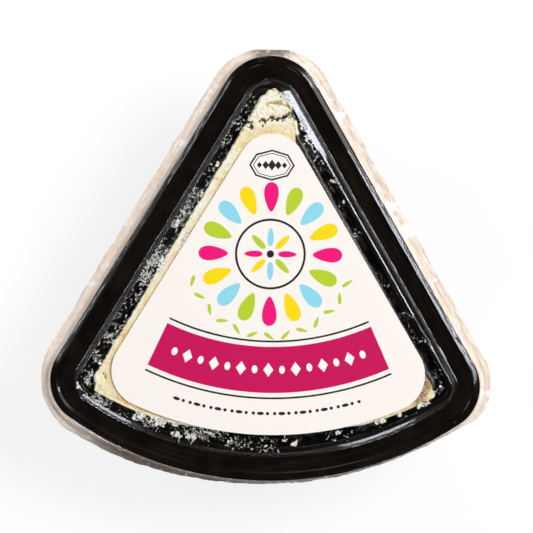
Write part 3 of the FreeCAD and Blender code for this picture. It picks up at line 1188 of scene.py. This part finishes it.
# %% The ribbon with its beads
magenta, bead_white = screen(198, 0, 86), screen(252, 244, 240)
ribbon_inner, ribbon_outer = 66.5, 79.0
ribbon_start, ribbon_end = -90 - 24.5, -90 + 24.5
ribbon = bmesh.new()
arc_band(ribbon, label_fan, ribbon_inner, ribbon_outer, ribbon_start, ribbon_end, 64)
print_ink("print_ribbon", ribbon, magenta)
beads = bmesh.new()
bead_count = 15
beads_reach = 20.5
for i in range(bead_count):
    angle = -90 + beads_reach * (2 * i / (bead_count - 1) - 1)
    size, points = (1.9, 4) if i % 2 else (1.1, 24)
    place = label_fan + (ribbon_inner + ribbon_outer) / 2 * pointing(angle)
    stamp(beads, size, size * 0.72, place, angle, points=points)
print_ink("print_beads", beads, bead_white, layer=1)

# %% The dark lines, the dots and the frame
black = screen(28, 26, 26)
line_gap, line_width = 1.2, 0.5
dark = bmesh.new()
arc_band(dark, rosette, 9.0, 9.6, 0, 360, 96)
for radius in (ribbon_inner - line_gap - line_width, ribbon_outer + line_gap):
    arc_band(dark, label_fan, radius, radius + line_width, ribbon_start, ribbon_end, 48)
dot_count = 27
dots_reach, dots_radius = 17, 84.6
for i in range(dot_count):
    angle = -90 + dots_reach * (2 * i / (dot_count - 1) - 1)
    length = 0.95 if i % 3 == 0 else 0.45
    stamp(dark, length, 0.45, label_fan + dots_radius * pointing(angle), angle + 90)
badge_y = 27.6
frame_line(dark, 6.2, 4.2, (label_x, badge_y), 0.45, points=8)
frame_line(dark, 5.2, 3.3, (label_x, badge_y), 0.2, points=8)
for i in range(-2, 3):
    place = (label_x + 1.7 * i, badge_y)
    stamp(dark, 1.1 - 0.2 * abs(i), 1.5 - 0.35 * abs(i), place, 0, points=4)
stamp(dark, 1.0, 1.0, rosette, 0)
print_ink("print_black", dark, black)

# %% [markdown]
# ## Floor, light and camera
# The pack lies on a pale floor, which carries its shadow. One large soft lamp high on the right, the
# key, does most of the work, and draws the bright rim on the right. A smaller one fills from the
# left. Three small, low lamps, behind, in front and at the right corner, draw thin lines along the
# bead, the ridge and the lip. The sky is bright near the horizon and dim above, like a room with
# white walls, so that level plastic stays black while steep edges catch a little grey. The camera
# looks straight down through a long lens.

# %% Floor
floor_size = 6.0
floor_glow = 0.83  # what the floor adds where it is seen or mirrored, so that it looks white


def floor_finish():
    material, tree = new_tree("pale_floor")
    cloth = mixed(tree, grain(tree, 40, 2), screen(116, 116, 116), screen(120, 120, 120))
    matt = add(tree, "BsdfDiffuse", {"Color": cloth})
    rays = add(tree, "LightPath").outputs
    seen = maths(tree, "MAXIMUM", maths(tree, "MAXIMUM", rays["Is Camera Ray"], rays["Is Glossy Ray"]),
                 rays["Is Transmission Ray"])
    glow = add(tree, "Emission", {"Color": (1, 1, 1, 1), "Strength": times(tree, seen, floor_glow)})
    both = add(tree, "AddShader", {0: matt.outputs[0], 1: glow.outputs[0]})
    add(tree, "OutputMaterial", {"Surface": both.outputs[0]})
    return material


floor_bm = bmesh.new()
bmesh.ops.create_grid(floor_bm, x_segments=1, y_segments=1, size=floor_size / 2)
floor_mesh = new_mesh("floor", floor_bm)
floor_mesh.materials.append(floor_finish())
floor = new_object("floor", floor_mesh)

# %% Sky and lamps
sky_low, sky_high = 0.45, 0.05  # its strength near the horizon and above
lamps = [
    # name, degrees round from +X, degrees down from overhead, distance, width, power
    ("key", 30, 44, 2.0, 0.95, 41),
    ("left_fill", 150, 62, 1.6, 0.45, 5.5),
    ("back_line", 100, 66, 1.6, 0.25, 2.5),
    ("front_line", 236, 76, 1.5, 0.40, 7),
    ("corner_line", 292, 76, 1.5, 0.36, 5),
]


def make_sky():
    world = bpy.data.worlds.new("studio")
    world.use_nodes = True
    tree = world.node_tree
    tree.nodes.clear()
    direction = add(tree, "TexCoord").outputs["Generated"]
    height = add(tree, "SeparateXYZ", {"Vector": direction}).outputs["Z"]
    room = add(tree, "MapRange", {"Value": height, "From Min": 0.05, "From Max": 0.3,
                                  "To Min": sky_low, "To Max": sky_high}, interpolation_type="SMOOTHSTEP")
    straight = add(tree, "LightPath").outputs["Is Camera Ray"]
    strength = maths(tree, "MAXIMUM", room.outputs["Result"], straight)
    sky = add(tree, "Background", {"Color": (1, 1, 1, 1), "Strength": strength})
    add(tree, "OutputWorld", {"Surface": sky.outputs[0]})
    bpy.context.scene.world = world


def soft_lamp(name, around, down, distance, width, power):
    """A square soft lamp that points at the pack, in metres and watts."""
    data = bpy.data.lights.new(name, "AREA")
    data.shape = "SQUARE"
    data.size = width
    data.energy = power
    lamp = new_object(name, data)
    turn, tilt = radians(around), radians(down)
    towards = Vector((cos(turn) * sin(tilt), sin(turn) * sin(tilt), cos(tilt)))
    lamp.location = towards * distance
    lamp.rotation_euler = towards.to_track_quat("Z", "Y").to_euler()


make_sky()
for lamp in lamps:
    soft_lamp(*lamp)

# %% Camera
camera_x, camera_y = -0.19, 0.11
camera_height = 0.8355
camera_turn = 1.03
camera_data = bpy.data.cameras.new("camera")
camera_data.lens = 200
camera_data.sensor_width = 36
camera_data.clip_start = 0.01
camera_data.clip_end = 10
camera = new_object("camera", camera_data)
camera.location = (camera_x * MM, camera_y * MM, camera_height)
camera.rotation_euler = (0, 0, radians(camera_turn))
bpy.context.scene.camera = camera
print(f"camera {camera_height:.2f} m up, {len(lamps)} lamps")
